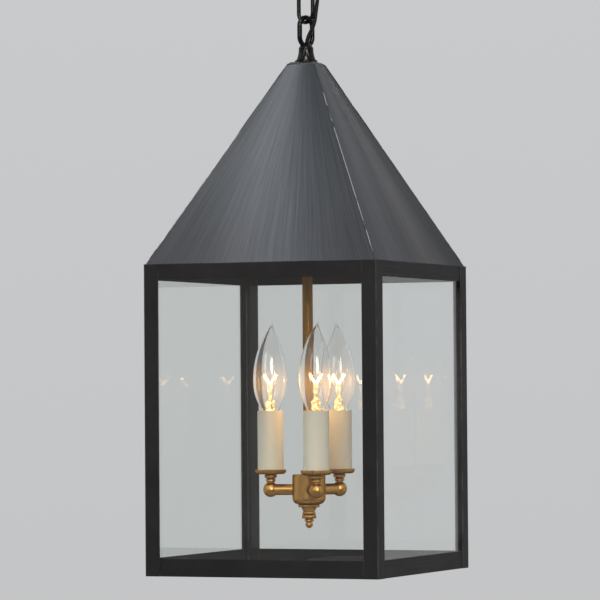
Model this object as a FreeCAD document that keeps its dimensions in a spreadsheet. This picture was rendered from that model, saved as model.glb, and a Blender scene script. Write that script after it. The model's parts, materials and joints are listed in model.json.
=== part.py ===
import FreeCAD, Part
import math
import os
import re

import Sketcher
from FreeCAD import Placement, Rotation, Vector

# A square outdoor lantern that hangs from a ceiling by a loop, three chain links and a second loop.
# Inside its four clear panes a brass stem carries a cluster of three candle lights.
# Millimetres. The origin is the middle of the ceiling face, +Z is up and the lantern hangs below.
# The wide face in view is the front, towards -Y, and the narrow one beside it is the right, towards +X.

SIZES = {
    # Ceiling strap, canopy and the loop that hangs from them
    "strap_length": 108, "strap_width": 20, "strap_thick": 2.5, "strap_corner": 5,
    "screw_spacing": 69.85, "screw_hole": 5,
    "canopy_width": 127, "canopy_depth": 24, "canopy_rim": 4, "canopy_flat": 30, "canopy_wall": 1,
    "collar_width": 22, "collar_height": 7, "collar_edge": 1,
    "shank_width": 9.6, "shank_short": 0.5, "canopy_neck": 5, "canopy_neck_width": 14.5,
    # Loops, chain and lead
    "ring_wire": 4.6, "ring_width": 21, "ring_height": 31,
    "link_wire": 3.8, "link_width": 22, "link_length": 38, "link_gap": 0.3,
    "loop_turn": 68, "cord_width": 3.6, "cord_gap": 0.4,
    "loop_flange_width": 21, "loop_flange": 1.8, "loop_neck_low": 18.6, "loop_neck_high": 13.8,
    "loop_neck_curve": 24, "loop_rise": 13.2, "loop_crown": 0.4, "crown_edge": 1, "loop_thread": 8,
    # Sheet-metal body
    "body_width": 228.6, "post_height": 283.7, "post_leg": 14.5, "sheet": 1.2, "bend_radius": 1.5,
    "top_rail": 14.3, "bottom_rail": 16, "rail_lip": 9,
    "roof_rise": 185.9, "roof_top": 27.3, "roof_sheet": 1, "roof_inset": 0.45,
    "cap_lip": 0.6, "cap_rise": 2.6, "cap_top": 21.4,
    # Panes and the tabs that hold them
    "glass": 2.4, "glass_gap": 0.3, "pane_play": 1,
    "clip_sheet": 0.8, "clip_width": 10, "clip_height": 7, "clip_foot": 3, "clip_spacing": 110,
    # Stem and cluster
    "stem_width": 9.6, "stem_bore": 6.6, "nut_width": 15, "nut_height": 4, "stem_end": 6,
    "cluster_low": 62.5, "cluster_width": 30.7, "cluster_height": 26, "cluster_wall": 2,
    "cluster_round": 6, "cluster_lid": 1.7, "lid_step": 2,
    "finial_width": 20, "finial_flange": 2.6, "finial_neck": 15, "finial_waist": 11,
    "finial_neck_height": 4, "finial_bead": 12.2, "finial_bead_height": 2.9, "finial_ring": 13.4,
    "finial_ring_height": 3.6, "finial_cove": 6.6, "finial_cove_height": 0.6, "finial_collar": 8.6,
    "finial_collar_height": 2.2, "finial_throat": 4.8, "finial_tip": 7,
    "finial_stud": 7, "finial_stud_length": 5,
    # Arms, elbows and candles
    "first_arm_turn": -56.4, "arm_reach": 37.5, "arm_rise": 13.6,
    "arm_width": 10.2, "arm_bore": 7, "arm_inset": 1,
    "elbow_ball": 14, "elbow_neck": 7, "elbow_rise": 14.3, "elbow_floor": 3,
    "elbow_top_bead": 11.6, "elbow_top_height": 3.8, "elbow_low_bead": 9.2, "elbow_low_height": 2.6,
    "elbow_groove": 0.6,
    "stud_width": 7, "stud_rise": 10, "stud_room": 1, "wire_bore": 5,
    "cup_width": 29, "cup_height": 4.2, "cup_floor": 1.5, "cup_round": 3.4, "cup_edge": 0.4,
    "sleeve_width": 24, "sleeve_wall": 1.1, "sleeve_length": 57.2,
    "socket_width": 20.4, "socket_height": 47.1, "socket_depth": 25, "socket_bore": 13,
    # Bulbs
    "base_width": 11.9, "base_length": 25, "base_collar": 12.6, "collar_band": 3, "base_edge": 1,
    "contact_width": 4.6, "contact_height": 1.4, "insulator_height": 4,
    "bulb_width": 31.4, "bulb_height": 92, "bulb_wall": 0.8, "bulb_bend": 2.6,
    "flare_width": 8.2, "flare_neck": 6.4, "flare_height": 10.4, "press_width": 9.4, "press_top": 8.8,
    "press_height": 5.2, "rod_width": 2.7, "rod_shoulder": 1, "rod_height": 9.6, "button_width": 4.6,
    "button_height": 4, "filament_wire": 0.9, "wire_bead": 1.3, "wire_foot": 2.6, "filament_span": 11.5,
    "filament_high": 43.5, "filament_low": 35.6,
    # Fits
    "thread_gap": 0.05, "slip_gap": 0.2,
}

SAME_PLACE = 0.01  # two places closer than this are the same one
FILLET_SHARE = 0.9  # the most of its wall that a fillet may take
BEAD_ROUND = 0.6  # the radius of a turned bead, as a share of its height
BEAD_BULGE = BEAD_ROUND - math.sqrt(BEAD_ROUND ** 2 - 0.25)  # how far it stands out, as a share of that

doc = FreeCAD.newDocument("hanging_lantern")
sheet = doc.addObject("Spreadsheet::Sheet", "sizes")
for row, (name, size) in enumerate(SIZES.items(), start=1):
    sheet.set(f"A{row}", str(size))
    sheet.setAlias(f"A{row}", name)
doc.recompute()
pieces = []


def sized(text):
    """The expression with each size read from the sheet."""
    return re.sub(r"[a-z]\w*", lambda word: f"sizes.{word[0]}" if word[0] in SIZES else word[0], text)


def value(text):
    return float(sheet.evalExpression(sized(text)))


def bind(item, prop, text):
    item.setExpression(prop, sized(text))


# Heights, from the ceiling down. A ring or link hangs on the next one with link_gap between the bars.
ring_step = "((ring_wire + link_wire) / 2 + link_gap)"
link_step = "(link_wire + link_gap)"
link_reach = "(link_length - link_wire)"
collar_low = "(-canopy_depth - collar_height)"
canopy_ring = f"({collar_low} - canopy_neck - ring_height / 2)"
upper_link = f"({canopy_ring} - ring_height / 2 + ring_wire / 2 + {ring_step} - {link_reach} / 2)"
middle_link = f"({upper_link} - {link_reach} + {link_step})"
lower_link = f"({middle_link} - {link_reach} + {link_step})"
hanging_ring = f"({lower_link} - {link_reach} / 2 + {ring_step} + ring_wire / 2 - ring_height / 2)"
roof_top_height = f"({hanging_ring} - ring_height / 2 - loop_rise)"
lantern_low = f"({roof_top_height} - cap_rise - roof_rise - post_height)"
cluster_base = f"({lantern_low} + cluster_low)"
arm_height = f"({cluster_base} + arm_rise)"
cup_base = f"({arm_height} + elbow_rise)"
candle_base = f"({cup_base} + cup_floor)"
base_seat = f"({candle_base} + socket_height - socket_depth)"
bulb_seat = f"({base_seat} + base_length)"

# Distances out from the middle of the body
rail_face = "(body_width / 2 - sheet)"
pane_face = f"({rail_face} - sheet - glass_gap)"
roof_eave = f"({rail_face} - roof_inset)"
stem_hole = "(stem_width / 2 + thread_gap)"


def seat(piece, height, turn="0", out="0", spin="0"):
    """Put a finished piece at a height and a distance out in a direction, with a spin of its own."""
    piece.Placement = Placement(Vector(), Rotation(Vector(0, 0, 1), value(f"({turn}) + ({spin})")))
    bind(piece, "Placement.Rotation.Angle", f"({turn}) + ({spin})")
    bind(piece, "Placement.Base.x", f"({out}) * cos({turn})")
    bind(piece, "Placement.Base.y", f"({out}) * sin({turn})")
    bind(piece, "Placement.Base.z", height)
    pieces.append(piece)


def new_body(label):
    return doc.addObject("PartDesign::Body", label)


def new_sketch(body, plane, lift="0"):
    sketch = body.newObject("Sketcher::SketchObject", "sketch")
    origin_plane = next(item for item in body.Origin.OriginFeatures if item.Role == plane)
    sketch.AttachmentSupport = [(origin_plane, "")]
    sketch.MapMode = "FlatFace"
    bind(sketch, "AttachmentOffset.Base.z", lift)
    return sketch


def dimension(sketch, kind, places, text):
    number = sketch.addConstraint(Sketcher.Constraint(kind, *places, value(text)))
    bind(sketch, f"Constraints[{number}]", text)


def arc_between(start, end, radius):
    """The short arc from start to end, with its centre on the left if the radius is positive."""
    chord = end - start
    left = Vector(-chord.y, chord.x, 0).normalize()
    offset = math.sqrt(max(radius ** 2 - (chord.Length / 2) ** 2, 0))
    centre = (start + end) / 2 + left * math.copysign(offset, radius)
    first, last = (start, end) if radius > 0 else (end, start)
    angles = [math.atan2(point.y - centre.y, point.x - centre.x) for point in (first, last)]
    if angles[1] < angles[0]:
        angles[1] += 2 * math.pi
    return Part.ArcOfCircle(Part.Circle(centre, Vector(0, 0, 1), abs(radius)), *angles)


def draw_outline(sketch, points, closed=True):
    """Draw an outline through (across, up) points. A third entry is the radius of an arc to the next."""
    corners = [Vector(value(point[0]), value(point[1]), 0) for point in points]
    sides = len(points) if closed else len(points) - 1
    first = sketch.GeometryCount
    ends = []
    for side in range(sides):
        start, end = corners[side], corners[(side + 1) % len(points)]
        if len(points[side]) == 2:
            sketch.addGeometry(Part.LineSegment(start, end), False)
            ends.append((1, 2))
        else:
            radius = value(points[side][2])
            sketch.addGeometry(arc_between(start, end, radius), False)
            ends.append((1, 2) if radius > 0 else (2, 1))
    for side in range(sides if closed else sides - 1):
        after = (side + 1) % sides
        places = (first + side, ends[side][1], first + after, ends[after][0])
        sketch.addConstraint(Sketcher.Constraint("Coincident", *places))
    for corner, point in enumerate(points):
        side = min(corner, sides - 1)
        place = (-1, 1, first + side, ends[side][0] if corner == side else ends[side][1])
        dimension(sketch, "DistanceX", place, point[0])
        dimension(sketch, "DistanceY", place, point[1])
        if len(point) == 3:
            dimension(sketch, "Radius", (first + side,), f"abs({point[2]})")


def rectangle(width, length):
    """The corners of a rectangle about the middle."""
    return [(f"{x}{width} / 2", f"{y}{length} / 2") for x, y in (("-", "-"), ("", "-"), ("", ""), ("-", ""))]


def draw_circle(sketch, across, up, radius):
    circle = Part.Circle(Vector(value(across), value(up), 0), Vector(0, 0, 1), value(radius))
    item = sketch.addGeometry(circle, False)
    dimension(sketch, "DistanceX", (-1, 1, item, 3), across)
    dimension(sketch, "DistanceY", (-1, 1, item, 3), up)
    dimension(sketch, "Radius", (item,), radius)


def pad(body, sketch, length, symmetric=False, downward=False):
    feature = body.newObject("PartDesign::Pad", "pad")
    feature.Profile = sketch
    bind(feature, "Length", length)
    feature.SideType = "Symmetric" if symmetric else "One side"
    feature.Reversed = downward
    return feature


def turned(label, points):
    """A piece turned about the upright axis from an outline of (radius, height) points."""
    body = new_body(label)
    sketch = new_sketch(body, "XZ_Plane")
    draw_outline(sketch, points)
    turning = body.newObject("PartDesign::Revolution", "turning")
    turning.Profile = sketch
    turning.ReferenceAxis = (sketch, ["V_Axis"])
    turning.Angle = 360
    return body


def bead(width, low, high):
    """The two outline points of a turned bead with a greatest width, between two heights."""
    height = f"(({high}) - ({low}))"
    foot = f"({width}) / 2 - {height} * {BEAD_BULGE}"
    return [(foot, low, f"{height} * {BEAD_ROUND}"), (foot, high)]


def round_edges(body, feature, radius, chosen):
    doc.recompute()
    names = [f"Edge{number}" for number, edge in enumerate(feature.Shape.Edges, start=1) if chosen(edge)]
    rounding = body.newObject("PartDesign::Fillet", "rounding")
    rounding.Base = (feature, names)
    bind(rounding, "Radius", radius)
    return rounding


def bore(body, height, radius, depth, start="0"):
    """A round bore that runs from a distance out along +X, at a height, for a depth."""
    sketch = new_sketch(body, "YZ_Plane", start)
    draw_circle(sketch, "0", height, radius)
    cut = body.newObject("PartDesign::Pocket", "bore")
    cut.Profile = sketch
    bind(cut, "Length", depth)
    cut.Reversed = True
    return cut


def mitred(label, section):
    """A strip along the front with a section of (back, up) points and both ends cut at 45 degrees."""
    body = new_body(label)
    profile = new_sketch(body, "YZ_Plane")
    draw_outline(profile, section)
    pad(body, profile, "body_width", symmetric=True)
    corners = new_sketch(body, "XY_Plane")
    draw_outline(corners, [("-body_width", "-body_width"), ("0", "0"), ("body_width", "-body_width"),
                           ("body_width", "body_width"), ("-body_width", "body_width")])
    mitre = body.newObject("PartDesign::Pocket", "mitre")
    mitre.Profile = corners
    mitre.Type = "ThroughAll"
    mitre.SideType = "Symmetric"
    return body


def bent_ring(label, length, width, wire):
    """The four solids of a wire ring with straight sides, upright in the XZ plane about its middle."""
    middle_radius = f"(({width}) - ({wire})) / 2"
    straight = f"(({length}) - ({width}))"
    solids = []
    for name, side in (("top", 1), ("low", -1)):
        bend = doc.addObject("Part::Torus", f"{label}_{name}_bend")
        bend.Angle3 = 180
        bend.Placement = Placement(Vector(), Rotation(Vector(1, 0, 0), 90 * side))
        bind(bend, "Radius1", middle_radius)
        bind(bend, "Radius2", f"({wire}) / 2")
        bind(bend, "Placement.Base.z", f"{straight} / 2 * {side}")
        solids.append(bend)
    for name, side in (("right", 1), ("left", -1)):
        bar = doc.addObject("Part::Cylinder", f"{label}_{name}_bar")
        bind(bar, "Radius", f"({wire}) / 2")
        bind(bar, "Height", straight)
        bind(bar, "Placement.Base.x", f"{middle_radius} * {side}")
        bind(bar, "Placement.Base.z", f"-{straight} / 2")
        solids.append(bar)
    return solids


def fused(label, solids):
    whole = doc.addObject("Part::MultiFuse", label)
    whole.Shapes = solids
    return whole


# Ceiling strap: a flat bar with a threaded middle and two holes for the ceiling box's screws
strap = new_body("ceiling_strap")
strap_outline = new_sketch(strap, "XY_Plane")
draw_outline(strap_outline, rectangle("strap_length", "strap_width"))
draw_circle(strap_outline, "0", "0", "shank_width / 2 + thread_gap")
for side in ("", "-"):
    draw_circle(strap_outline, f"{side}screw_spacing / 2", "0", "screw_hole / 2")
bar = pad(strap, strap_outline, "strap_thick", downward=True)
round_edges(strap, bar, f"min(strap_corner; strap_width / 2 * {FILLET_SHARE})",
            lambda edge: edge.BoundBox.ZLength > SAME_PLACE and isinstance(edge.Curve, Part.Line)
            and abs(edge.CenterOfMass.x) > value("strap_length") / 2 - SAME_PLACE)
seat(strap, "0")

# Canopy: a spun dome that hides the strap, with its rim on the ceiling
dome_radius = "((({run})^2 + ({drop})^2) / (2 * ({drop})))"
dome_outside = dome_radius.format(run="canopy_width / 2 - canopy_flat / 2",
                                  drop="canopy_depth - canopy_rim")
dome_inside = dome_radius.format(run="canopy_width / 2 - canopy_wall - canopy_flat / 2",
                                 drop="canopy_depth - canopy_rim - canopy_wall")
canopy = turned("ceiling_canopy", [
    ("shank_width / 2 + slip_gap", "-canopy_depth"), ("canopy_flat / 2", "-canopy_depth", dome_outside),
    ("canopy_width / 2", "-canopy_rim"), ("canopy_width / 2", "0"),
    ("canopy_width / 2 - canopy_wall", "0"),
    ("canopy_width / 2 - canopy_wall", "-canopy_rim", f"-{dome_inside}"),
    ("canopy_flat / 2", "canopy_wall - canopy_depth"),
    ("shank_width / 2 + slip_gap", "canopy_wall - canopy_depth")])
seat(canopy, "0")

# Collar: the ring nut under the canopy
collar = turned("canopy_collar", [
    ("shank_width / 2 + thread_gap", "0"), ("collar_width / 2 - collar_edge", "0"),
    ("collar_width / 2", "collar_edge"), ("collar_width / 2", "collar_height - collar_edge"),
    ("collar_width / 2 - collar_edge", "collar_height"),
    ("shank_width / 2 + thread_gap", "collar_height")])
seat(collar, collar_low)

# Canopy loop: a ring under a short neck, with a hollow threaded shank up to the strap
crown_drop = "(ring_wire + loop_crown)"
lead_bore = "(cord_width / 2 + cord_gap)"
canopy_stub = turned("canopy_neck_blank", [
    (lead_bore, f"ring_height / 2 - {crown_drop}"),
    (f"{lead_bore} + crown_edge", f"ring_height / 2 - {crown_drop}", "canopy_neck_width"),
    ("canopy_neck_width / 2", "ring_height / 2 + canopy_neck / 2"),
    ("canopy_neck_width / 2", "ring_height / 2 + canopy_neck"),
    ("shank_width / 2", "ring_height / 2 + canopy_neck"),
    ("shank_width / 2", "ring_height / 2 + canopy_neck + collar_height + canopy_depth - shank_short"),
    (lead_bore, "ring_height / 2 + canopy_neck + collar_height + canopy_depth - shank_short")])
canopy_ring_bars = bent_ring("canopy_ring", "ring_height", "ring_width", "ring_wire")
canopy_loop_blank = fused("canopy_loop_blank", [canopy_stub] + canopy_ring_bars)


def drilled_loop(label, blank, low, high):
    """A loop whose neck is drilled through for the lead, from one height to another."""
    drill = doc.addObject("Part::Cylinder", f"{label}_drill")
    bind(drill, "Radius", lead_bore)
    bind(drill, "Height", f"({high}) - ({low})")
    bind(drill, "Placement.Base.z", low)
    loop = doc.addObject("Part::Cut", label)
    loop.Base = blank
    loop.Tool = drill
    return loop


canopy_loop = drilled_loop("canopy_loop", canopy_loop_blank, f"ring_height / 2 - {crown_drop}",
                           "ring_height / 2 + canopy_neck")
seat(canopy_loop, canopy_ring, "loop_turn")

# Chain: each link hangs square to the one above
CHAIN = (("upper", upper_link, "+ 90"), ("middle", middle_link, ""), ("lower", lower_link, "+ 90"))
for name, height, square in CHAIN:
    link = fused(f"{name}_chain_link", bent_ring(f"{name}_link", "link_length", "link_width", "link_wire"))
    seat(link, height, f"loop_turn {square}")

# Hanging loop: a ring on a coned neck with a flange, screwed on the stem's top
crown = f"(loop_rise + {crown_drop})"
loop_neck = turned("hanging_neck_blank", [
    (stem_hole, "0"), ("loop_flange_width / 2", "0"), ("loop_flange_width / 2", "loop_flange"),
    ("loop_neck_low / 2", "loop_flange", "-loop_neck_curve"),
    ("loop_neck_high / 2", "loop_rise", "loop_neck_high"),
    (f"{lead_bore} + crown_edge", crown), (lead_bore, crown),
    (lead_bore, "loop_thread"), (stem_hole, "loop_thread")])
bind(loop_neck, "Placement.Base.z", "-ring_height / 2 - loop_rise")
hanging_blank = fused("hanging_loop_blank",
                      [loop_neck] + bent_ring("hanging_ring", "ring_height", "ring_width", "ring_wire"))
hanging_loop = drilled_loop("hanging_loop", hanging_blank, "loop_thread - ring_height / 2 - loop_rise",
                            f"{crown_drop} - ring_height / 2")
seat(hanging_loop, hanging_ring, "loop_turn")

# Lead: woven through the links from loop to loop.
# Each point is (along the loops, along the lower link, height above the hanging loop's neck).
LEAD_ROUTE = [
    (0, 0, -8.4), (0, 0, 2.6), (3.4, 7.8, 16.4), (4.6, 8.9, 29.6), (4.6, 11.6, 43.6),
    (3.6, 10.2, 55.6), (2, 0.6, 66.4), (3.6, -9.9, 77.9), (4.6, -11.4, 90.4),
    (4.6, -8.9, 103.6), (3.4, -7.8, 116.8), (0, 0, 130.2), (0, 0, 141.2),
]
ARC_SHARE = 0.45


def rounded_path(points):
    """Straight runs joined by tangent arcs, each as large as its two runs allow."""
    edges = []
    radii = []
    start = points[0]
    for before, corner, after in zip(points, points[1:], points[2:]):
        back, ahead = before - corner, after - corner
        trim = ARC_SHARE * min(back.Length, ahead.Length)
        half_turn = (math.pi - back.getAngle(ahead)) / 2
        radii.append(trim / math.tan(half_turn))
        inward = (back.normalize() + ahead.normalize()).normalize()
        first, last = corner + back * trim, corner + ahead * trim
        middle = corner + inward * radii[-1] * (1 / math.cos(half_turn) - 1)
        edges += [Part.LineSegment(start, first).toShape(), Part.Arc(first, middle, last).toShape()]
        start = last
    edges.append(Part.LineSegment(start, points[-1]).toShape())
    print("lead bend radii", [round(radius, 1) for radius in radii])
    return Part.Wire(edges)


neck_top = value(f"{roof_top_height} + {crown}")
along_loop = Rotation(Vector(0, 0, 1), value("loop_turn"))
route = [along_loop.multVec(Vector(along, -across, 0)) + Vector(0, 0, neck_top + up)
         for along, across, up in LEAD_ROUTE]
lead_path = rounded_path(route)
lead_end = Part.Wire(Part.Circle(route[0], Vector(0, 0, 1), value("cord_width / 2")).toShape())
cord = doc.addObject("Part::Feature", "supply_cord")
cord.Shape = lead_path.makePipeShell([lead_end], True, False)
cord.Placement = Placement()
pieces.append(cord)
print("lead length", round(lead_path.Length, 1), "volume share",
      round(cord.Shape.Volume / (lead_path.Length * math.pi * value("cord_width / 2") ** 2), 4))

# Body sides: rails, roof panels and panes, once for each side
SIDES = (("front", 0), ("right", 90), ("back", 180), ("left", 270))
eave_thick = f"(roof_sheet * sqrt(roof_rise^2 + ({roof_eave} - roof_top / 2)^2) / roof_rise)"
ROOF_SECTION = [
    (f"-{roof_eave}", "post_height"), (f"{eave_thick} - {roof_eave}", "post_height"),
    (f"{eave_thick} - roof_top / 2", "post_height + roof_rise"),
    ("-roof_top / 2", "post_height + roof_rise")]
TOP_RAIL_SECTION = [
    (f"-{rail_face}", "post_height - top_rail"), (f"sheet - {rail_face}", "post_height - top_rail"),
    (f"sheet - {rail_face}", "post_height - sheet"), (f"rail_lip - {rail_face}", "post_height - sheet"),
    (f"rail_lip - {rail_face}", "post_height"), (f"-{rail_face}", "post_height")]
BOTTOM_RAIL_SECTION = [
    (f"-{rail_face}", "0"), (f"rail_lip - {rail_face}", "0"), (f"rail_lip - {rail_face}", "sheet"),
    (f"sheet - {rail_face}", "sheet"), (f"sheet - {rail_face}", "bottom_rail"),
    (f"-{rail_face}", "bottom_rail")]


def pane(label):
    body = new_body(label)
    outline = new_sketch(body, "YZ_Plane")
    high = "post_height - sheet - pane_play"
    draw_outline(outline, [(f"-{pane_face}", "sheet"), (f"glass - {pane_face}", "sheet"),
                           (f"glass - {pane_face}", high), (f"-{pane_face}", high)])
    pad(body, outline, f"2 * ({pane_face} - glass - glass_gap)", symmetric=True)
    return body


for name, turn in SIDES:
    for label, section in (("roof_panel", ROOF_SECTION), ("top_rail", TOP_RAIL_SECTION),
                           ("bottom_rail", BOTTOM_RAIL_SECTION)):
        seat(mitred(f"{label}_{name}", section), lantern_low, str(turn))
    seat(pane(f"glass_pane_{name}"), lantern_low, str(turn))

# Corner posts: angles folded from sheet, lapped outside the rails
half = "body_width / 2"
for name, turn in (("front_right", 0), ("back_right", 90), ("back_left", 180), ("front_left", 270)):
    post = new_body(f"corner_post_{name}")
    angle = new_sketch(post, "XY_Plane")
    draw_outline(angle, [
        (f"{half} - post_leg", f"-{half}"), (half, f"-{half}"), (half, f"post_leg - {half}"),
        (f"{half} - sheet", f"post_leg - {half}"), (f"{half} - sheet", f"sheet - {half}"),
        (f"{half} - post_leg", f"sheet - {half}")])
    upright = pad(post, angle, "post_height")
    corner = value(half)
    round_edges(post, upright, "bend_radius",
                lambda edge: edge.BoundBox.ZLength > SAME_PLACE
                and abs(edge.CenterOfMass.x - corner) < SAME_PLACE
                and abs(edge.CenterOfMass.y + corner) < SAME_PLACE)
    seat(post, lantern_low, str(turn))

# Roof cap: the low square pyramid that closes the roof's top, under the hanging loop
cap = new_body("roof_cap")
cap_squares = []
for lift, width in (("0", "roof_top"), ("cap_lip", "roof_top"), ("cap_rise", "cap_top")):
    square = new_sketch(cap, "XY_Plane", lift)
    draw_outline(square, rectangle(width, width))
    cap_squares.append(square)
pad(cap, cap_squares[0], "cap_lip")
slope = cap.newObject("PartDesign::AdditiveLoft", "slope")
slope.Profile = cap_squares[1]
slope.Sections = [cap_squares[2]]
hole = new_sketch(cap, "XY_Plane")
draw_circle(hole, "0", "0", "stem_width / 2 + slip_gap")
drilled = cap.newObject("PartDesign::Pocket", "hole")
drilled.Profile = hole
drilled.Type = "ThroughAll"
drilled.SideType = "Symmetric"
seat(cap, f"{lantern_low} + post_height + roof_rise")

# Pane tabs: two on each bottom lip and two under each top lip
tab = new_body("tab_blank")
tab_outline = new_sketch(tab, "YZ_Plane")
tab_face = f"({pane_face} - glass - slip_gap)"
draw_outline(tab_outline, [
    (f"-{tab_face}", "0"), (f"clip_sheet + clip_foot - {tab_face}", "0"),
    (f"clip_sheet + clip_foot - {tab_face}", "clip_sheet"), (f"clip_sheet - {tab_face}", "clip_sheet"),
    (f"clip_sheet - {tab_face}", "clip_height"), (f"-{tab_face}", "clip_height")])
pad(tab, tab_outline, "clip_width", symmetric=True)
doc.recompute()
tabs = []
for turn in (0, 90, 180, 270):
    for across in (-value("clip_spacing / 2"), value("clip_spacing / 2")):
        low = tab.Shape.copy()
        high = low.mirror(Vector(), Vector(0, 0, 1))
        low.translate(Vector(across, 0, value(f"{lantern_low} + sheet")))
        high.translate(Vector(across, 0, value(f"{lantern_low} + post_height - sheet")))
        for copy in (low, high):
            copy.rotate(Vector(), Vector(0, 0, 1), turn)
            tabs.append(copy)
clips = doc.addObject("Part::Feature", "glazing_clips")
clips.Shape = Part.makeCompound(tabs)
clips.Placement = Placement()
pieces.append(clips)

# Stem: a tube from the hanging loop, through the roof cap, into the cluster
stem_low = "(cluster_low + cluster_height - stem_end)"
stem_high = "(post_height + roof_rise + cap_rise + loop_thread)"
seat(turned("stem_tube", [("stem_bore / 2", stem_low), ("stem_width / 2", stem_low),
                          ("stem_width / 2", stem_high), ("stem_bore / 2", stem_high)]), lantern_low)

# Lock nut under the roof cap
nut = new_body("stem_nut")
nut_outline = new_sketch(nut, "XY_Plane")
corner_radius = "nut_width / (2 * cos(30))"
draw_outline(nut_outline, [(f"{corner_radius} * cos({60 * side})", f"{corner_radius} * sin({60 * side})")
                           for side in range(6)])
draw_circle(nut_outline, "0", "0", stem_hole)
pad(nut, nut_outline, "nut_height")
seat(nut, f"{lantern_low} + post_height + roof_rise - nut_height")

# Cluster body: a turned brass cup with three bores for the arms
cluster = turned("cluster_body", [
    ("finial_stud / 2 + thread_gap", "0"), ("cluster_width / 2 - cluster_round", "0", "cluster_round"),
    ("cluster_width / 2", "cluster_round"), ("cluster_width / 2", "cluster_height"),
    ("cluster_width / 2 - cluster_wall", "cluster_height"),
    ("cluster_width / 2 - cluster_wall", "cluster_round"),
    ("cluster_width / 2 - cluster_round", "cluster_wall"),
    ("finial_stud / 2 + thread_gap", "cluster_wall")])
doc.recompute()
arm_bore = bore(cluster, "arm_rise", "arm_width / 2 + thread_gap", "cluster_width")
arm_bores = cluster.newObject("PartDesign::PolarPattern", "arm_bores")
arm_bores.Originals = [arm_bore]
arm_bores.Axis = (next(item for item in cluster.Origin.OriginFeatures if item.Role == "Z_Axis"), [""])
arm_bores.Angle = 360
arm_bores.Occurrences = 3
cluster.Tip = arm_bores
seat(cluster, cluster_base, "first_arm_turn")

# Lid: closes the cluster and takes the stem's thread
lid_inside = "cluster_width / 2 - cluster_wall - slip_gap"
seat(turned("cluster_cap", [
    (stem_hole, "-lid_step"), (lid_inside, "-lid_step"), (lid_inside, "0"), ("cluster_width / 2", "0"),
    ("cluster_width / 2", "cluster_lid / 2"), ("cluster_width / 2 - cluster_lid / 2", "cluster_lid"),
    (stem_hole, "cluster_lid")]), f"{cluster_base} + cluster_height")

# Finial: a turned drop of beads with a ball at its tip and a threaded stud up into the cluster
neck_drop = "(finial_flange + finial_neck_height)"
bead_low = f"({neck_drop} + finial_bead_height)"
ring_low = f"({bead_low} + finial_ring_height)"
collar_top = f"({ring_low} + finial_cove_height)"
collar_foot = f"({collar_top} + finial_collar_height)"
tip_middle = f"({collar_foot} + sqrt(finial_tip^2 - finial_throat^2) / 2)"
seat(turned("cluster_finial", [
    ("0", "finial_stud_length"), ("0", f"-{tip_middle} - finial_tip / 2", "finial_tip / 2"),
    ("finial_tip / 2", f"-{tip_middle}", "finial_tip / 2"), ("finial_throat / 2", f"-{collar_foot}"),
    *bead("finial_collar", f"-{collar_foot}", f"-{collar_top}"),
    ("finial_cove / 2", f"-{collar_top}"), ("finial_cove / 2", f"-{ring_low}"),
    *bead("finial_ring", f"-{ring_low}", f"-{bead_low}"),
    *bead("finial_bead", f"-{bead_low}", f"-{neck_drop}"),
    ("finial_waist / 2", f"-{neck_drop}", "-2 * finial_neck_height"),
    ("finial_neck / 2", "-finial_flange"),
    *bead("finial_width", "-finial_flange", "0"),
    ("finial_stud / 2", "0"), ("finial_stud / 2", "finial_stud_length")]), cluster_base)


# Candles: one arm with its elbow, cup, socket, sleeve and bulb in each of three directions
def candle_arm(label):
    body = new_body(label)
    ring = new_sketch(body, "YZ_Plane", "cluster_width / 2 - cluster_wall - arm_inset")
    draw_circle(ring, "0", "0", "arm_width / 2")
    draw_circle(ring, "0", "0", "arm_bore / 2")
    pad(body, ring, "arm_reach - elbow_floor - cluster_width / 2 + cluster_wall + arm_inset")
    return body


def arm_elbow(label):
    """A ball that takes the arm from the side, with two beads and a hollow stud on top."""
    ball = "elbow_ball / 2"
    neck_foot = "sqrt((elbow_ball / 2)^2 - (elbow_neck / 2)^2)"
    top_low = "(elbow_rise - elbow_top_height)"
    low_high = f"({top_low} - elbow_groove)"
    low_low = f"({low_high} - elbow_low_height)"
    body = turned(label, [
        ("0", f"-{ball}", ball), (ball, "0", ball),
        ("elbow_neck / 2", neck_foot), ("elbow_neck / 2", low_low),
        *bead("elbow_low_bead", low_low, low_high), ("elbow_neck / 2", low_high), ("elbow_neck / 2", top_low),
        *bead("elbow_top_bead", top_low, "elbow_rise"), ("stud_width / 2", "elbow_rise"),
        ("stud_width / 2", "elbow_rise + stud_rise"), ("wire_bore / 2", "elbow_rise + stud_rise"),
        ("wire_bore / 2", "0"), ("0", "0")])
    doc.recompute()
    socket = bore(body, "0", "arm_width / 2 + thread_gap", "elbow_ball", "-elbow_floor")
    socket.Reversed = False
    return body


def candle_cup(label):
    hole = "stud_width / 2 + thread_gap"
    seat_radius = "sleeve_width / 2 + slip_gap"
    return turned(label, [
        (hole, "0"), ("cup_width / 2 - cup_round", "0", "cup_round"), ("cup_width / 2", "cup_round"),
        ("cup_width / 2", "cup_height - cup_edge"), ("cup_width / 2 - cup_edge", "cup_height"),
        (seat_radius, "cup_height"),
        (seat_radius, "cup_floor"), (hole, "cup_floor")])


def lamp_socket(label):
    hole = "stud_width / 2 + thread_gap"
    floor = "(socket_height - socket_depth)"
    return turned(label, [
        (hole, "0"), ("socket_width / 2", "0"), ("socket_width / 2", "socket_height"),
        ("socket_bore / 2", "socket_height"), ("socket_bore / 2", floor), ("0", floor),
        ("0", "stud_rise - cup_floor + stud_room"), (hole, "stud_rise - cup_floor + stud_room")])


def candle_sleeve(label):
    inside = "sleeve_width / 2 - sleeve_wall"
    return turned(label, [(inside, "0"), ("sleeve_width / 2", "0"), ("sleeve_width / 2", "sleeve_length"),
                          (inside, "sleeve_length")])


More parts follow.
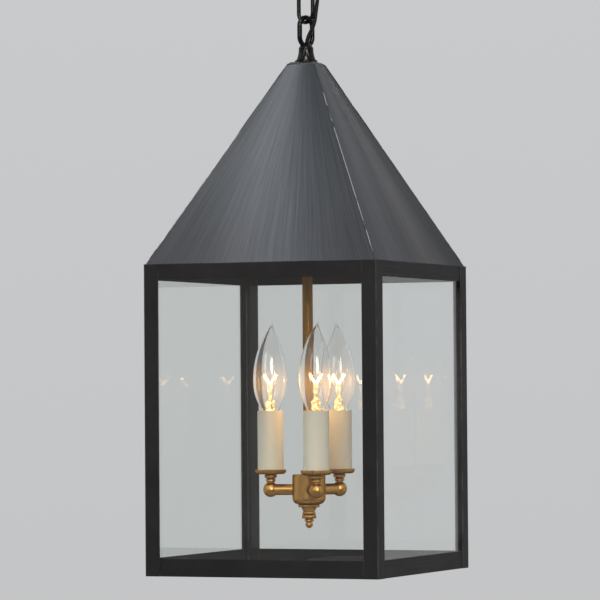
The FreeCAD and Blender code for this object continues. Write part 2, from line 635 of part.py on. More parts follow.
def bulb_base(label):
    """A screw base: a contact, an insulating cone, the threaded shell and the collar under the glass."""
    return turned(label, [
        ("0", "0"), ("contact_width / 2", "0"), ("contact_width / 2", "contact_height"),
        ("base_width / 2 - base_edge", "insulator_height"),
        ("base_width / 2", "insulator_height + base_edge"),
        ("base_width / 2", "base_length - collar_band - base_edge"),
        ("base_collar / 2", "base_length - collar_band"), ("base_collar / 2", "base_length"),
        ("0", "base_length")])


# The flame shape of the glass: share of the height, share of the greatest width, share of the tip's bend
FLAME = ((0, 0.39, 0), (0.12, 0.54, 0), (0.22, 0.8, 0), (0.31, 0.95, 0), (0.43, 1, 0), (0.64, 0.86, 0.03),
         (0.81, 0.53, 0.12), (0.9, 0.28, 0.3), (0.945, 0.14, 0.55), (1, 0.06, 1))


def loft(body, kind, stations, shrink):
    sections = []
    for up, wide, bend in stations:
        sketch = new_sketch(body, "XY_Plane", f"bulb_height * {up}")
        draw_circle(sketch, f"bulb_bend * {bend}", "0", f"bulb_width / 2 * {wide} - {shrink}")
        sections.append(sketch)
    feature = body.newObject(kind, "flame")
    feature.Profile = sections[0]
    feature.Sections = sections[1:]
    return feature


def bulb_glass(label):
    body = new_body(label)
    loft(body, "PartDesign::AdditiveLoft", FLAME, "0")
    loft(body, "PartDesign::SubtractiveLoft", FLAME[:-1], "bulb_wall")
    return body


def wire_between(label, start, end):
    """A straight wire between two (across, up) places in the XZ plane, with a bead on its far end."""
    run = [f"(({end[axis]}) - ({start[axis]}))" for axis in (0, 1)]
    wire = doc.addObject("Part::Cylinder", f"{label}_wire")
    wire.Placement = Placement(Vector(), Rotation(Vector(0, 1, 0), value(f"atan2({run[0]}; {run[1]})")))
    bind(wire, "Placement.Rotation.Angle", f"atan2({run[0]}; {run[1]})")
    bind(wire, "Radius", "filament_wire / 2")
    bind(wire, "Height", f"sqrt({run[0]}^2 + {run[1]}^2)")
    knot = doc.addObject("Part::Sphere", f"{label}_bead")
    bind(knot, "Radius", "wire_bead / 2")
    for item, place in ((wire, start), (knot, end)):
        bind(item, "Placement.Base.x", place[0])
        bind(item, "Placement.Base.z", place[1])
    return [wire, knot]


def bulb_mount(label):
    """The pressed glass foot and rod inside the bulb, with two wires that hold the filament in a V."""
    press_high = "(flare_height + 2 * press_height)"
    rod_high = f"({press_high} + rod_height)"
    button_high = f"({rod_high} + button_height)"
    foot = turned(f"{label}_foot", [
        ("0", "0"), ("flare_width / 2", "0"), ("flare_neck / 2", "flare_height"),
        *bead("press_width", "flare_height", "flare_height + press_height"),
        *bead("press_top", "flare_height + press_height", press_high),
        ("rod_width / 2", f"{press_high} + rod_shoulder"), ("rod_width / 2", rod_high),
        *bead("button_width", rod_high, button_high), ("0", button_high)])
    lines = []
    for name, side in (("right", ""), ("left", "-")):
        hook = (f"{side}filament_span / 2", "filament_high")
        root = (f"{side}wire_foot", "flare_height + press_height")
        lines += wire_between(f"{label}_{name}_support", root, hook)
        lines += wire_between(f"{label}_{name}_filament", hook, ("0", "filament_low"))
    return fused(label, [foot] + lines)


CANDLE = ((arm_elbow, arm_height), (candle_cup, cup_base), (lamp_socket, candle_base),
          (candle_sleeve, candle_base), (bulb_base, base_seat), (bulb_mount, bulb_seat),
          (bulb_glass, bulb_seat))
# Each arm is (name, turn from the first arm, turn of its bulb in the socket)
for name, step, bulb_turn in (("front", 0, 88), ("back", 120, 128), ("left", 240, -164)):
    turn = f"first_arm_turn + {step}"
    seat(candle_arm(f"candle_arm_{name}"), arm_height, turn)
    for make, height in CANDLE:
        spin = str(bulb_turn) if make in (bulb_base, bulb_mount, bulb_glass) else "0"
        seat(make(f"{make.__name__}_{name}"), height, turn, "arm_reach", spin)

doc.recompute()
failed = [item.Label for item in doc.Objects if {"Invalid", "Error"} & set(item.State)]
failed += [piece.Label for piece in pieces if piece.Shape.isNull() or not piece.Shape.isValid()]
if failed:
    raise RuntimeError(f"failed: {failed}")
os.makedirs("parts", exist_ok=True)
for piece in pieces:
    piece.Shape.exportStep(f"parts/{piece.Label}.step")
    print(piece.Label, len(piece.Shape.Solids), round(piece.Shape.Volume, 1))
print(len(pieces), "pieces, lantern bottom at", round(value(lantern_low), 2))
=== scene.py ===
# %% [markdown]
# # Dressing a hanging lantern
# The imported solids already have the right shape, size and place. This lesson gives every surface its
# finish, makes the few pieces that only a mesh can show well, and sets a camera and soft light.
# Everything is in metres, with the origin at the ceiling and the lantern hanging below it.

# %% Load the fixed frame
import json
import math
import random

import bmesh
import bpy
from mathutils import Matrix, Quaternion, Vector

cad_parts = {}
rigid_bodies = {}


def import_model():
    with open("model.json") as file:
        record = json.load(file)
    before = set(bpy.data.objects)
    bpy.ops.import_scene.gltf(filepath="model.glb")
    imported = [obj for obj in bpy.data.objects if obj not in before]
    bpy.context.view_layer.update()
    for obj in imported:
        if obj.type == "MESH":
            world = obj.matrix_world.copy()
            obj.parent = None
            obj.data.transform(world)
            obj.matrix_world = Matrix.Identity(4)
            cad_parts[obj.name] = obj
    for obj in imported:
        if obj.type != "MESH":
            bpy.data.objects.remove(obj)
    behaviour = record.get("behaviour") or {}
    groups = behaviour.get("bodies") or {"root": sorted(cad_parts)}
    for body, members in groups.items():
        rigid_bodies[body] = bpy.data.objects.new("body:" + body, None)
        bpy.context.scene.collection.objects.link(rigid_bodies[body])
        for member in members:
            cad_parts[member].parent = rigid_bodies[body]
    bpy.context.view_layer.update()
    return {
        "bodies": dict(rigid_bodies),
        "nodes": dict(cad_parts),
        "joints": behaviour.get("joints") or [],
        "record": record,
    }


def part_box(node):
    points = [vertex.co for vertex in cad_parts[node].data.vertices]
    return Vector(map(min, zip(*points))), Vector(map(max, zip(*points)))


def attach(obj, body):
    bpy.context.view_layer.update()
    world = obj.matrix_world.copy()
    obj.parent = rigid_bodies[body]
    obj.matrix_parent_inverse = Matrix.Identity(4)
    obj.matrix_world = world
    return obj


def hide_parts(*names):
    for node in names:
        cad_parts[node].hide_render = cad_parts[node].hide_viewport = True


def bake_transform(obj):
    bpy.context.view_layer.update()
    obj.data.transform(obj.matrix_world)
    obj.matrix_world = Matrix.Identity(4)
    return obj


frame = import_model()
nodes = frame["nodes"]
scene = bpy.context.scene

# %% [markdown]
# ## Camera
# The view is a long lens from the right of the front pane, a little below the middle of the lantern.
# A camera can be aimed with a constraint, but a turn worked out from two angles is easier to read
# and leaves nothing behind.

# %% Aim the camera
CAMERA_AIM = Vector((-0.0067, -0.0030, -0.4125))
CAMERA_DISTANCE = 3.3988
CAMERA_AZIMUTH = math.radians(23.01)
CAMERA_ELEVATION = math.radians(-1.46)
CAMERA_ROLL = math.radians(-0.422)
CAMERA_LENS = 220
CAMERA_REACH = 100


def direction(azimuth, elevation):
    """The way from the lantern to a viewer or a lamp. Azimuth 0 is in front, and 90 is to the right."""
    level = math.cos(elevation)
    return Vector((math.sin(azimuth) * level, -math.cos(azimuth) * level, math.sin(elevation)))


def look_along(item, place, forward):
    """Put a camera or a lamp at a place, looking forward."""
    item.location = place
    item.rotation_mode = "QUATERNION"
    item.rotation_quaternion = forward.to_track_quat("-Z", "Y")


camera = bpy.data.objects.new("camera", bpy.data.cameras.new("camera"))
scene.collection.objects.link(camera)
towards_camera = direction(CAMERA_AZIMUTH, CAMERA_ELEVATION)
look_along(camera, CAMERA_AIM + towards_camera * CAMERA_DISTANCE, -towards_camera)
camera.rotation_quaternion = camera.rotation_quaternion @ Quaternion((0, 0, 1), CAMERA_ROLL)
camera.data.lens = CAMERA_LENS
camera.data.clip_end = CAMERA_REACH
scene.camera = camera
scene.view_settings.view_transform = "Standard"
print("camera at", [round(value, 3) for value in camera.location])

# %% [markdown]
# ## Helpers for shader nodes
# A material is a small graph. It could be drawn by hand in the editor, but a few helpers keep each
# graph to some readable lines: one adds a node and sets or links its inputs, and the others do
# arithmetic, noise and mixing. They are used by every finish below.


# %% Node helpers
def add_node(tree, kind, inputs=None, **settings):
    """Add a node. An input that is a socket is linked, and any other value is set."""
    node = tree.nodes.new(kind)
    for name, value in settings.items():
        setattr(node, name, value)
    for name, value in (inputs or {}).items():
        if isinstance(value, bpy.types.NodeSocket):
            tree.links.new(value, node.inputs[name])
        else:
            node.inputs[name].default_value = value
    return node


def calc(tree, operation, *values):
    return add_node(tree, "ShaderNodeMath", dict(enumerate(values)), operation=operation).outputs[0]


def vector_calc(tree, operation, *vectors):
    """Vector arithmetic. A length or a dot product is a number, and the rest are vectors."""
    made = add_node(tree, "ShaderNodeVectorMath", dict(enumerate(vectors)), operation=operation).outputs
    return made["Value"] if operation in ("LENGTH", "DOT_PRODUCT") else made["Vector"]


def axes_of(tree, vector):
    """The x, y and z of a vector."""
    return add_node(tree, "ShaderNodeSeparateXYZ", {0: vector}).outputs


def weigh(tree, first, first_weight, second, second_weight):
    """The sum of two values, each times its weight."""
    first = calc(tree, "MULTIPLY", first, first_weight)
    return calc(tree, "ADD", first, calc(tree, "MULTIPLY", second, second_weight))


def spread(tree, value, low, high, new_low, new_high):
    """Move a value from one range to another, and hold it there."""
    inputs = {"Value": value, "From Min": low, "From Max": high, "To Min": new_low, "To Max": new_high}
    return add_node(tree, "ShaderNodeMapRange", inputs, interpolation_type="SMOOTHSTEP").outputs[0]


print("node helpers ready")


# %% Patterns, colours and places
def noise(tree, vector, scale, detail=3.0, roughness=0.5):
    inputs = {"Vector": vector, "Scale": scale, "Detail": detail, "Roughness": roughness}
    return add_node(tree, "ShaderNodeTexNoise", inputs).outputs["Fac"]


def stretched_noise(tree, vector, scale, detail=3.0, roughness=0.5):
    """Noise with a scale of its own along each axis."""
    drawn_out = add_node(tree, "ShaderNodeMapping", {"Vector": vector, "Scale": scale}).outputs[0]
    return noise(tree, drawn_out, 1, detail, roughness)


def blend_colour(tree, share, first, second):
    """A colour between two, by a share from 0 to 1."""
    mix = tree.nodes.new("ShaderNodeMix")
    mix.data_type = "RGBA"
    for name, value in (("Factor", share), ("A", first), ("B", second)):
        socket = next(item for item in mix.inputs if item.name == name and item.enabled)
        if isinstance(value, bpy.types.NodeSocket):
            tree.links.new(value, socket)
        else:
            socket.default_value = value
    return next(item for item in mix.outputs if item.enabled)


def own_place(tree):
    """A place on a piece, in the lantern's frame at rest."""
    return add_node(tree, "ShaderNodeTexCoord").outputs["Object"]


def own_facing(tree):
    """The way a surface points, as x, y and z in the lantern's frame at rest."""
    return axes_of(tree, add_node(tree, "ShaderNodeTexCoord").outputs["Normal"])


print("pattern, colour and place helpers ready")

# %% [markdown]
# ## Helpers for a finish
# Every finish sets the same few things: a colour between two tones, a roughness that varies, and a
# fine relief. They could be linked anew in each finish, but a name for each link says what it is for.
# Noise seldom leaves its middle range, so that range is what the roughness follows.

# %% Finish helpers
NOISE_LOW, NOISE_HIGH = 0.3, 0.7
FINE_RELIEF = 0.0001
finishes = {}


def start_material(name, **sockets):
    """A material with one main shader, and the values that are the same all over it."""
    material = bpy.data.materials.new(name)
    material.use_nodes = True
    shader = material.node_tree.nodes["Principled BSDF"]
    for socket, value in sockets.items():
        shader.inputs[socket.replace("_", " ")].default_value = value
    return material, material.node_tree, shader


def join(tree, source, shader, socket):
    tree.links.new(source, shader.inputs[socket])


def paint(tree, shader, share, first, second):
    """Colour a surface between two tones, by a share from 0 to 1."""
    join(tree, blend_colour(tree, share, first, second), shader, "Base Color")


def vary_roughness(tree, shader, pattern, first, second):
    """Roughness from one value to another, as a noise goes over its usual range."""
    join(tree, spread(tree, pattern, NOISE_LOW, NOISE_HIGH, first, second), shader, "Roughness")


def emboss(tree, shader, pattern, strength, depth=FINE_RELIEF):
    """Raise and sink a surface slightly, by a pattern."""
    inputs = {"Height": pattern, "Strength": strength, "Distance": depth}
    join(tree, add_node(tree, "ShaderNodeBump", inputs).outputs["Normal"], shader, "Normal")


print("finish helpers ready")

# %% [markdown]
# ## Brushed roof sheet
# The roof is dark patinated sheet, brushed by hand from the top down, so the streaks fan out from
# the peak. A noise stretched along one axis would stay parallel. Here the noise is read by the
# angle about the peak and the distance from it, which makes the fan on all four slopes at once.
# Brush marks also pull a highlight into a band across them, which the shader's tangent gives. The
# inside of the sheet is painted nearly black as painted shade under the roof, and it is told from the
# outside by the way its faces point.

# %% Places on the roof
eave_low, eave_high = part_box("roof_panel_front")
ROOF_RISE = eave_high.z - eave_low.z
ROOF_HALF_WIDTH = eave_high.x
ROOF_HALF_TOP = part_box("roof_cap")[1].x
ROOF_SPREAD = (ROOF_HALF_WIDTH - ROOF_HALF_TOP) / ROOF_RISE
PEAK_HEIGHT = eave_high.z + ROOF_HALF_TOP / ROOF_SPREAD
SIDE_STEPS = (3, 7)


def below_peak(tree):
    """The way from the roof's peak to a place on it."""
    return vector_calc(tree, "SUBTRACT", own_place(tree), (0, 0, PEAK_HEIGHT))


def fan_place(tree):
    """A place on the roof as (angle about the peak, distance below it, side of the roof)."""
    place = axes_of(tree, below_peak(tree))
    facing = own_facing(tree)
    slant = [calc(tree, "ABSOLUTE", facing[0]), calc(tree, "ABSOLUTE", facing[1])]
    wide_side = calc(tree, "LESS_THAN", *slant)
    across = add_node(tree, "ShaderNodeMix", {0: wide_side, 2: place[1], 3: place[0]}).outputs[0]
    side = weigh(tree, facing[0], SIDE_STEPS[0], facing[1], SIDE_STEPS[1])
    angle = calc(tree, "DIVIDE", across, place[2])
    return add_node(tree, "ShaderNodeCombineXYZ", {0: angle, 1: place[2], 2: side}).outputs[0]


print("roof peak at", round(PEAK_HEIGHT, 4), "m")

# %% Roof finish
DARK_STREAKS = ((0.052, 0.057, 0.064, 1), (0.060, 0.064, 0.070, 1))
PALE_STREAKS = ((0.098, 0.105, 0.115, 1), (0.112, 0.117, 0.124, 1))
ROOF_UNDERSIDE_SHADE = (0.016, 0.013, 0.011, 1)
EAVE_TONE = (0.040, 0.042, 0.046, 1)
FINE_BRUSH = (420, 14, 1)
BROAD_BRUSH = (60, 9, 1)
BRUSH_SWAY = (4, 22, 1)
SWAY_ANGLE = 0.016
EAVE_DARKENING_START = 0.6
EAVE_DARKENING_MOST = 0.45


def roof_finish():
    material, tree, shader = start_material("brushed_roof", Metallic=0.85, Anisotropic=0.93,
                                            Anisotropic_Rotation=0.25)
    fan = fan_place(tree)
    sway = calc(tree, "MULTIPLY", stretched_noise(tree, fan, BRUSH_SWAY, detail=2), SWAY_ANGLE)
    drift = add_node(tree, "ShaderNodeCombineXYZ", {0: sway}).outputs[0]
    swayed = vector_calc(tree, "ADD", fan, drift)
    fine = stretched_noise(tree, swayed, FINE_BRUSH, detail=4, roughness=0.65)
    broad = stretched_noise(tree, swayed, BROAD_BRUSH)
    cloud = noise(tree, own_place(tree), scale=12, detail=2)
    streak = weigh(tree, fine, 0.75, broad, 0.25)
    dark_tone = blend_colour(tree, cloud, *DARK_STREAKS)
    pale_tone = blend_colour(tree, cloud, *PALE_STREAKS)
    outside = blend_colour(tree, spread(tree, streak, 0.34, 0.68, 0, 1), dark_tone, pale_tone)
    depth = axes_of(tree, fan)[1]
    eave_depth = eave_low.z - PEAK_HEIGHT
    # The lower part of each slope is painted darker towards the eave.
    eave_darkening = spread(tree, depth, -EAVE_DARKENING_START * ROOF_RISE, eave_depth, 0, EAVE_DARKENING_MOST)
    outside = blend_colour(tree, eave_darkening, outside, EAVE_TONE)
    # Painted shade: the inside of the roof is painted nearly black.
    inside = calc(tree, "LESS_THAN", own_facing(tree)[2], 0)
    paint(tree, shader, inside, outside, ROOF_UNDERSIDE_SHADE)
    vary_roughness(tree, shader, streak, 0.46, 0.38)
    emboss(tree, shader, fine, strength=0.12)
    brushed_way = add_node(tree, "ShaderNodeVectorTransform", {0: below_peak(tree)}, vector_type="VECTOR",
                           convert_from="OBJECT", convert_to="WORLD").outputs[0]
    join(tree, brushed_way, shader, "Tangent")
    return material


finishes["brushed_roof"] = roof_finish()
print("made", finishes["brushed_roof"].name)

# %% [markdown]
# ## Dark folded sheet
# Posts, rails and the cap are the same sheet with a darker patina. It is painted paler along the folded
# corners, the cut edges of the post legs and the top edge under the roof: partly wear where cloths rub
# it, partly a painted highlight along those edges. These pale edges could be painted on each piece,
# but the place on the body tells how near an edge is, so one finish serves them all. Brush marks follow
# the length of a piece, which gives one finish for each axis.

# %% Sheet finish
post_low, post_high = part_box("corner_post_front_right")
BODY_HALF = post_high.x
POST_TOP = post_high.z
LEG_EDGE = post_low.x
SHEET_TONES = ((0.018, 0.0172, 0.0175, 1), (0.028, 0.0266, 0.0266, 1))
WORN_EDGE_AND_HIGHLIGHT_TONE = (0.085, 0.088, 0.092, 1)
FOLD_WEAR_AND_HIGHLIGHT, FOLD_EDGE = 0.0018, 0.0002
LEG_WEAR_AND_HIGHLIGHT = 0.0005
TOP_WEAR_AND_HIGHLIGHT = 0.0009
ACROSS_BRUSH, ALONG_BRUSH = 900, 20
WEAR_PATCHES = (40, 40, 60)


def near(tree, value, place, reach):
    """1 where a value is at a place, falling to 0 at a reach from it."""
    gap = calc(tree, "ABSOLUTE", calc(tree, "SUBTRACT", value, place))
    return spread(tree, gap, 0, reach, 1, 0)


def sheet_finish(name, long_axis):
    """Dark sheet whose brush marks run along one axis."""
    material, tree, shader = start_material(name, Metallic=0.1, Specular_IOR_Level=0.12)
    place = own_place(tree)
    axes = axes_of(tree, place)
    brush = [ALONG_BRUSH if axis == long_axis else ACROSS_BRUSH for axis in range(3)]
    marks = stretched_noise(tree, place, brush, detail=4, roughness=0.6)
    cloud = noise(tree, place, scale=22, roughness=0.55)
    nearer = calc(tree, "MINIMUM", calc(tree, "ABSOLUTE", axes[0]), calc(tree, "ABSOLUTE", axes[1]))
    fold = spread(tree, nearer, BODY_HALF - FOLD_WEAR_AND_HIGHLIGHT, BODY_HALF - FOLD_EDGE, 0, 1)
    leg = near(tree, nearer, LEG_EDGE, LEG_WEAR_AND_HIGHLIGHT)
    edge = calc(tree, "MAXIMUM", leg, near(tree, axes[2], POST_TOP, TOP_WEAR_AND_HIGHLIGHT))
    broken = spread(tree, stretched_noise(tree, place, WEAR_PATCHES), 0.4, 0.62, 0.2, 0.8)
    # Wear and painted highlight: folds, leg edges and the top edge are painted paler.
    worn = calc(tree, "MULTIPLY", calc(tree, "MAXIMUM", fold, edge), broken)
    tone = spread(tree, weigh(tree, marks, 0.25, cloud, 0.75), 0.25, 0.75, 0, 1)
    paint(tree, shader, worn, blend_colour(tree, tone, *SHEET_TONES), WORN_EDGE_AND_HIGHLIGHT_TONE)
    vary_roughness(tree, shader, marks, 0.6, 0.5)
    emboss(tree, shader, marks, strength=0.05)
    return material


finishes["upright_sheet"] = sheet_finish("upright_sheet", 2)
finishes["level_sheet_x"] = sheet_finish("level_sheet_x", 0)
finishes["level_sheet_y"] = sheet_finish("level_sheet_y", 1)
finishes["dark_sheet"] = finishes["level_sheet_x"]
print("body half width", round(BODY_HALF, 4), "m")

# %% [markdown]
# ## Gloss black metal
# The chain, loops and canopy are enamelled black. A plain black shader would look like plastic.
# Enamel pulls into a very slight orange peel, which a low relief gives, and it is never quite evenly
# glossy.

# %% Enamel finish
ENAMEL_TONES = ((0.0022, 0.0022, 0.0021, 1), (0.0045, 0.0043, 0.0040, 1))
PEEL_RELIEF = 0.00005


def enamel_finish():
    material, tree, shader = start_material("black_metal", Specular_IOR_Level=0.2)
    place = own_place(tree)
    peel = noise(tree, place, scale=500, detail=2)
    haze = noise(tree, place, scale=60)
    paint(tree, shader, haze, *ENAMEL_TONES)
    vary_roughness(tree, shader, haze, 0.13, 0.22)
    emboss(tree, shader, peel, strength=0.1, depth=PEEL_RELIEF)
    return material


finishes["black_metal"] = enamel_finish()
print("made", finishes["black_metal"].name)

# %% [markdown]
# ## Satin brass
# The cluster is turned brass left to age: warm, satin, with brown in the hollows and fine lathe marks.
# The undersides are painted brown as well, as painted shade. The stem is plain drawn tube, duller
# than the turned pieces, and its brass is painted much darker as painted shade under the roof. Brown
# could be painted into each groove. Finding the hollows by how much open air a place sees does it for
# every turned piece at once.

# %% Brass finish
HOLLOW_REACH = 0.005
BRASS_EDGE = (0.34, 0.22, 0.11, 1)
LATHE_MARKS = (60, 60, 2600)
UNDERSIDE_SHADE = 0.8
CLOUD_BROWN = 0.3
ROUGHNESS_STEP = 0.06


def brass_finish(name, bright, patina_and_shade_tone, rough):
    material, tree, shader = start_material(name, Metallic=1.0, Specular_Tint=BRASS_EDGE)
    place = own_place(tree)
    lathe = stretched_noise(tree, place, LATHE_MARKS, detail=2)
    cloud = noise(tree, place, scale=45)
    open_air = add_node(tree, "ShaderNodeAmbientOcclusion", {"Distance": HOLLOW_REACH}, samples=8,
                        only_local=True).outputs["AO"]
    hollow = spread(tree, open_air, 0.25, 0.9, 1, 0)
    # Painted shade: surfaces that face down are painted brown.
    underside_shade = spread(tree, own_facing(tree)[2], -0.95, 0.05, UNDERSIDE_SHADE, 0)
    clouded = calc(tree, "MULTIPLY", cloud, CLOUD_BROWN)
    patina_and_shade = calc(tree, "MAXIMUM", calc(tree, "MAXIMUM", hollow, underside_shade), clouded)
    paint(tree, shader, patina_and_shade, bright, patina_and_shade_tone)
    vary_roughness(tree, shader, cloud, rough, rough + ROUGHNESS_STEP)
    emboss(tree, shader, lathe, strength=0.06)
    return material


BRASS_KINDS = [
    ("satin_brass", (0.70, 0.38, 0.10, 1), (0.13, 0.05, 0.011, 1), 0.27),
    # Painted shade: the stem's brass is painted much darker than the turned pieces.
    ("stem_brass", (0.36, 0.18, 0.045, 1), (0.12, 0.05, 0.012, 1), 0.36),
    ("bulb_brass", (0.78, 0.60, 0.30, 1), (0.50, 0.34, 0.14, 1), 0.2),
]
for name, bright, patina_and_shade_tone, rough in BRASS_KINDS:
    finishes[name] = brass_finish(name, bright, patina_and_shade_tone, rough)
print(len(BRASS_KINDS), "kinds of brass")

# %% [markdown]
# ## Candle sleeves and sockets
# The sleeves are ivory painted tubes, which let a little light in, and the sockets inside them are
# moulded black. Both are plain surfaces, so each gets two close tones and a fine grain and no more.

# %% Sleeve and socket finishes
IVORY_TONES = ((0.72, 0.655, 0.53, 1), (0.78, 0.72, 0.60, 1))
SOCKET_TONES = ((0.012, 0.010, 0.009, 1), (0.026, 0.022, 0.019, 1))


def sleeve_finish():
    material, tree, shader = start_material("ivory_sleeve", Subsurface_Weight=0.12, Subsurface_Scale=0.002)
    place = own_place(tree)
    cloud = stretched_noise(tree, place, (60, 60, 18))
    paint(tree, shader, cloud, *IVORY_TONES)
    vary_roughness(tree, shader, cloud, 0.46, 0.58)
    emboss(tree, shader, noise(tree, place, scale=700, detail=2), strength=0.08)
    return material


def socket_finish():
    material, tree, shader = start_material("black_socket")
    grain = noise(tree, own_place(tree), scale=1200, detail=2)
    paint(tree, shader, grain, *SOCKET_TONES)
    vary_roughness(tree, shader, grain, 0.45, 0.6)
    return material


finishes["ivory_sleeve"] = sleeve_finish()
finishes["black_socket"] = socket_finish()
print(len(finishes), "finishes so far")

# %% [markdown]
# ## Ceiling strap and lead
# The strap is zinc-plated steel with its crystal pattern, which cells of one shade each give better
# than a cloudy noise. The lead has a plain satin black jacket.

# %% Strap and lead finishes
ZINC_TONES = ((0.36, 0.37, 0.38, 1), (0.55, 0.56, 0.57, 1))
JACKET_TONES = ((0.007, 0.007, 0.007, 1), (0.014, 0.0135, 0.013, 1))


def zinc_finish():
    material, tree, shader = start_material("zinc_steel", Metallic=1.0)
    crystal = add_node(tree, "ShaderNodeTexVoronoi", {"Vector": own_place(tree), "Scale": 220})
    shade = axes_of(tree, crystal.outputs["Color"])[0]
    paint(tree, shader, shade, *ZINC_TONES)
    join(tree, spread(tree, shade, 0, 1, 0.3, 0.45), shader, "Roughness")
    return material


def lead_finish():
    material, tree, shader = start_material("black_lead", Specular_IOR_Level=0.2)
    fine = noise(tree, own_place(tree), scale=1500, detail=2)
    paint(tree, shader, fine, *JACKET_TONES)
    vary_roughness(tree, shader, fine, 0.32, 0.42)
    emboss(tree, shader, fine, strength=0.08)
    return material


finishes["zinc_steel"] = zinc_finish()
finishes["black_lead"] = lead_finish()
print(len(finishes), "finishes so far")

# %% [markdown]
# ## Glass
# The panes and bulbs are clear. Real glass stops a lamp's direct light in a path tracer, so a plain
# glass shader would leave the inside dark. Letting shadow rays pass through keeps the inside lit.
# A lit bulb's wall gets a weak painted glow near the filament's height.

# %% Glass finishes
PAINTED_BULB_GLOW = (1.0, 0.52, 0.17, 1)
GLOW_DROP = 0.010
GLOW_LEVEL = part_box("bulb_mount_front")[1].z - GLOW_DROP
GLOW_REACH = 0.026
GLASS_BEND = 1.52


def clear_glass(name, tint, shade, wave_scale, wave_depth, glow=0):
    material, tree, shader = start_material(name, Transmission_Weight=1.0, Roughness=0.0, IOR=GLASS_BEND,
                                            Base_Color=tint, Emission_Color=PAINTED_BULB_GLOW)
    material.cycles.emission_sampling = "NONE"
    place = own_place(tree)
    if glow:
        # Painted glow: the bulb wall gives off light near the filament's height, though it is no lamp.
        painted_glow_band = near(tree, axes_of(tree, place)[2], GLOW_LEVEL, GLOW_REACH)
        join(tree, calc(tree, "MULTIPLY", painted_glow_band, glow), shader, "Emission Strength")
    emboss(tree, shader, noise(tree, place, wave_scale, detail=1), strength=1.0, depth=wave_depth)
    shadow = add_node(tree, "ShaderNodeLightPath").outputs["Is Shadow Ray"]
    clear = add_node(tree, "ShaderNodeBsdfTransparent", {"Color": shade}).outputs[0]
    mix = add_node(tree, "ShaderNodeMixShader", {0: shadow, 1: shader.outputs[0], 2: clear})
    tree.links.new(mix.outputs[0], tree.nodes["Material Output"].inputs["Surface"])
    return material


finishes["pane_glass"] = clear_glass("pane_glass", (0.965, 0.985, 0.975, 1), (0.93, 0.95, 0.94, 1),
                                     wave_scale=9, wave_depth=0.00004)
finishes["bulb_clear_glass"] = clear_glass("bulb_clear_glass", (1, 0.995, 0.985, 1), (0.98, 0.97, 0.95, 1),
                                           wave_scale=40, wave_depth=0.00002, glow=0.08)
print("bulbs glow at", round(GLOW_LEVEL, 4), "m")

# %% [markdown]
# ## Finishes inside a lit bulb
# A clear bulb shows its insides: a glass foot, nickel wires and a coiled filament. A lamp alone would
# light the room and leave the coil dark. The coil gives off light of its own, so its finish is an
# emission, far brighter than white. The foot is pressed glass with a painted warm glow in the folds of
# its press.

# %% Filament finishes
FILAMENT_COLOUR = (1.0, 0.60, 0.24, 1)
FILAMENT_STRENGTH = 260
COLD_FILAMENT = (0.1, 0.05, 0.02, 1)
FOOT_TINT = (1.0, 0.84, 0.60, 1)
FOOT_PAINTED_GLOW = (1.0, 0.60, 0.22, 1)
FOOT_RELIEF = 0.0004
NICKEL_TONES = ((0.42, 0.38, 0.33, 1), (0.62, 0.57, 0.50, 1))


def filament_finish():
    material = start_material("glowing_filament", Base_Color=COLD_FILAMENT, Emission_Color=FILAMENT_COLOUR,
                              Emission_Strength=FILAMENT_STRENGTH)[0]
    material.cycles.emission_sampling = "NONE"
    return material


def foot_finish():
    """Pressed glass with a painted glow, brightest in the folds of the press."""
    material, tree, shader = start_material("pressed_glass", Transmission_Weight=0.85, IOR=1.5,
                                            Base_Color=FOOT_TINT, Emission_Color=FOOT_PAINTED_GLOW)
    folds = noise(tree, own_place(tree), scale=330, roughness=0.6)
    # Painted glow: the foot gives off light in the folds of its press, though it is no lamp.
    join(tree, spread(tree, folds, 0.47, 0.66, 0.02, 2.4), shader, "Emission Strength")
    vary_roughness(tree, shader, folds, 0.05, 0.2)
    emboss(tree, shader, folds, strength=0.5, depth=FOOT_RELIEF)
    return material


def wire_finish():
    material, tree, shader = start_material("support_wire", Metallic=1.0, Roughness=0.3)
    paint(tree, shader, noise(tree, own_place(tree), scale=600, detail=2), *NICKEL_TONES)
    return material


finishes["glowing_filament"] = filament_finish()
finishes["pressed_glass"] = foot_finish()
finishes["support_wire"] = wire_finish()
print(len(finishes), "finishes so far")

# %% [markdown]
# ## A finish for every node
# Each solid names the material it is made of, and that picks its finish, which is shorter than a list
# of all the solids. A few need more than that: brush marks run along a rail or a post, and the stem gets
# a darker brass, as painted shade under the roof.

# %% Give every node its finish
SIDES = ("front", "right", "back", "left")
CORNERS = ("front_right", "back_right", "back_left", "front_left")
slot_of = {part["node"]: part["material_slot"] for part in frame["record"]["subparts"]}
special = {f"corner_post_{corner}": "upright_sheet" for corner in CORNERS}
special["stem_tube"] = "stem_brass"
for side in SIDES:
    along_rail = "level_sheet_x" if side in ("front", "back") else "level_sheet_y"
    special[f"top_rail_{side}"] = along_rail
    special[f"bottom_rail_{side}"] = along_rail
for name, node in nodes.items():
    node.data.materials.clear()
    node.data.materials.append(finishes[special.get(name, slot_of[name])])
print("finished", len(nodes), "nodes, of which", len(special), "by name")

# %% [markdown]
# ## The lead
# A black lead is woven through the chain from loop to loop. It follows one smooth line, and it has to
# bend with the chain. One whole piece can bend between two bodies only, so its tube is cut half way
# down each link, one length for each joint. The tube could be extruded ring by ring. A
# curve with a round section draws it at once, and so it does for the wires in the bulbs later on.


# %% Tubes and pieces
def add_line(curve, points):
    """Add one smooth line to a curve, with its points as control points."""
    spline = curve.splines.new("NURBS")
    spline.points.add(len(points) - 1)
    for item, point in zip(spline.points, points):
        item.co = (*point, 1)
    spline.order_u = 3
    spline.use_endpoint_u = True


